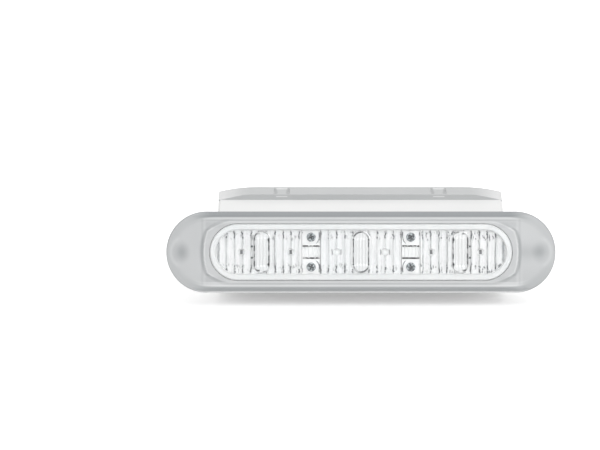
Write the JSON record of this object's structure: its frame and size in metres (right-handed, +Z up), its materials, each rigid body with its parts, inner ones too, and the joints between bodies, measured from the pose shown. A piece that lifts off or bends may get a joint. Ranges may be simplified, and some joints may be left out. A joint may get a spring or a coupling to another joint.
{
  "type": "daytime running light",
  "caption": "Surface-mounted daytime running light: round-ended silver cover, clear lens over fluted reflectors, white body clipped onto a screwed-down rear base.",
  "frame": {"origin": "centre of the base's flat rear face, midway between the two fixing holes", "axes": "+X along the lamp to the viewer's right, +Y back into the vehicle panel, +Z up; the light leaves towards -Y"},
  "size_m": [0.18, 0.054, 0.0474],
  "materials": {
    "cover_plastic": "satin silver-grey moulded plastic",
    "rubber": "matte moulded rubber",
    "screw_steel": "zinc-plated steel",
    "dark_screw_steel": "dark zinc-plated steel",
    "clear_lens": "clear polished polycarbonate",
    "frame_plastic": "white moulded plastic",
    "reflector_plating": "vacuum-metallised plastic",
    "light_bar_acrylic": "fluted clear-to-white acrylic",
    "bridge_plastic": "white moulded plastic",
    "led_package": "white ceramic package with a pale yellow dome",
    "white_board": "white solder mask",
    "pad_rubber": "soft silicone pad",
    "sink_aluminium": "plain extruded aluminium",
    "body_plastic": "white moulded plastic",
    "base_plastic": "light grey moulded plastic",
    "clip_plastic": "pale grey moulded plastic",
    "vent_membrane": "white breathable membrane",
    "green_board": "green solder mask",
    "component_dark": "dark moulded components",
    "connector_plastic": "off-white moulded plastic"
  },
  "bodies": {
    "root": {"cover": "cover_plastic", "cover_gasket": "rubber", "cover_screws": "screw_steel", "lens": "clear_lens", "lens_gasket": "rubber", "inner_frame": "frame_plastic", "reflector_left": "reflector_plating", "reflector_middle": "reflector_plating", "reflector_right": "reflector_plating", "light_bar_left": "light_bar_acrylic", "light_bar_middle": "light_bar_acrylic", "light_bar_right": "light_bar_acrylic", "bridge_left": "bridge_plastic", "bridge_right": "bridge_plastic", "bridge_screws": "dark_screw_steel", "led_1": "led_package", "led_2": "led_package", "led_3": "led_package", "led_4": "led_package", "led_5": "led_package", "led_6": "led_package", "led_board": "white_board", "thermal_pad": "pad_rubber", "heat_sink": "sink_aluminium", "body": "body_plastic", "base": "base_plastic", "clip_upper_left": "clip_plastic", "clip_upper_right": "clip_plastic", "clip_lower_left": "clip_plastic", "clip_lower_right": "clip_plastic", "cable_grommet": "rubber", "breather_vent": "vent_membrane", "driver_board": "green_board", "driver_screws": "screw_steel", "inductor": "component_dark", "capacitor_1": "component_dark", "capacitor_2": "component_dark", "driver_chip": "component_dark", "board_connector": "connector_plastic"}
  },
  "joints": []
}
